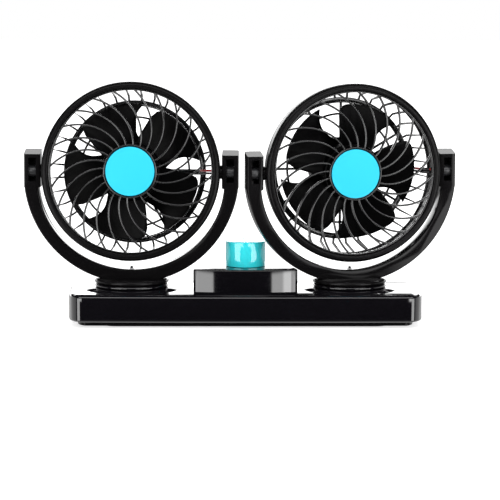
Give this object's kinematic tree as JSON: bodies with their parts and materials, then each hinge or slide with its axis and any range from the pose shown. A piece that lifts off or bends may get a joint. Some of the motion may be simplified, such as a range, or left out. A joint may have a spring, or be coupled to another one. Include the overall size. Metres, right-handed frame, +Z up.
{
  "type": "dual head car fan",
  "caption": "Stick-down vehicle fan: caged heads with spiral guards tilt in swivelling yokes on a long base with a speed knob.",
  "frame": {"origin": "middle of the base, on the underside of the adhesive pad", "axes": "+Z up, +X to the viewer's right along the base, -Y to the front, where the air and the console's face point"},
  "size_m": [0.2912, 0.0768, 0.1621],
  "materials": {
    "gloss_black": "polished black ABS, mirror-like",
    "black_plastic": "satin black ABS with a fine moulded grain",
    "blade_plastic": "smooth black polypropylene, half gloss",
    "blue_plastic": "glossy light blue ABS",
    "steel": "zinc-plated steel",
    "foam": "dark double-sided adhesive foam",
    "acetal": "plain dark acetal",
    "rubber": "matt black rubber",
    "circuit_board": "green fibreglass board",
    "ceramic": "unglazed white ceramic",
    "red_lead": "red PVC lead",
    "black_lead": "black PVC lead"
  },
  "bodies": {
    "base": {"base_housing": "gloss_black", "base_cover": "black_plastic", "adhesive_pad": "foam", "base_screw_1": "steel", "base_screw_2": "steel", "base_screw_3": "steel", "base_screw_4": "steel", "console_cover": "gloss_black", "rotary_switch": "acetal", "speed_board": "circuit_board", "dropper_resistor": "ceramic", "cord_gland": "rubber"},
    "knob": {"speed_knob": "blue_plastic", "switch_shaft": "steel"},
    "left_swivel_body": {"left_turntable": "gloss_black", "left_yoke": "black_plastic", "left_outer_pivot_cover": "black_plastic", "left_outer_pivot_bush": "acetal", "left_inner_pivot_cover": "black_plastic", "left_inner_pivot_bush": "acetal", "left_swivel_screw": "steel", "left_swivel_washer": "steel", "left_swivel_nut": "steel"},
    "left_head": {"left_bezel": "black_plastic", "left_front_guard": "black_plastic", "left_guard_cap": "blue_plastic", "left_rear_guard": "black_plastic", "left_motor_frame": "black_plastic", "left_motor": "steel", "left_motor_cover": "black_plastic", "left_red_lead": "red_lead", "left_black_lead": "black_lead"},
    "left_rotor": {"left_impeller": "blade_plastic", "left_motor_shaft": "steel"},
    "right_swivel_body": {"right_turntable": "gloss_black", "right_yoke": "black_plastic", "right_outer_pivot_cover": "black_plastic", "right_outer_pivot_bush": "acetal", "right_inner_pivot_cover": "black_plastic", "right_inner_pivot_bush": "acetal", "right_swivel_screw": "steel", "right_swivel_washer": "steel", "right_swivel_nut": "steel"},
    "right_head": {"right_bezel": "black_plastic", "right_front_guard": "black_plastic", "right_guard_cap": "blue_plastic", "right_rear_guard": "black_plastic", "right_motor_frame": "black_plastic", "right_motor": "steel", "right_motor_cover": "black_plastic", "right_red_lead": "red_lead", "right_black_lead": "black_lead"},
    "right_rotor": {"right_impeller": "blade_plastic", "right_motor_shaft": "steel"}
  },
  "joints": [
    {"name": "left_swivel", "type": "hinge", "parent": "base", "child": "left_swivel_body", "pos_m": [-0.0765, 0, 0.0265], "axis": [0, 0, 1], "range_deg": [-166.4, 173.6]},
    {"name": "right_swivel", "type": "hinge", "parent": "base", "child": "right_swivel_body", "pos_m": [0.0707, 0, 0.0265], "axis": [0, 0, 1], "range_deg": [-180.8, 159.2]},
    {"name": "left_tilt", "type": "hinge", "parent": "left_swivel_body", "child": "left_head", "pos_m": [-0.0765, 0, 0.1014], "axis": [0.998, -0.0628, 0], "range_deg": [-84.4, 95.6]},
    {"name": "right_tilt", "type": "hinge", "parent": "right_swivel_body", "child": "right_head", "pos_m": [0.0707, 0, 0.1014], "axis": [0.9823, 0.1874, 0], "range_deg": [-90, 90]},
    {"name": "left_spin", "type": "hinge", "parent": "left_head", "child": "left_rotor", "pos_m": [-0.0765, 0, 0.1014], "axis": [-0.0625, -0.9933, 0.0976], "continuous": true},
    {"name": "right_spin", "type": "hinge", "parent": "right_head", "child": "right_rotor", "pos_m": [0.0707, 0, 0.1014], "axis": [0.1874, -0.9823, 0], "continuous": true},
    {"name": "knob_turn", "type": "hinge", "parent": "base", "child": "knob", "pos_m": [0.0004, 0.006, 0.038], "axis": [0, 0, 1], "range_deg": [-90, 0]}
  ]
}
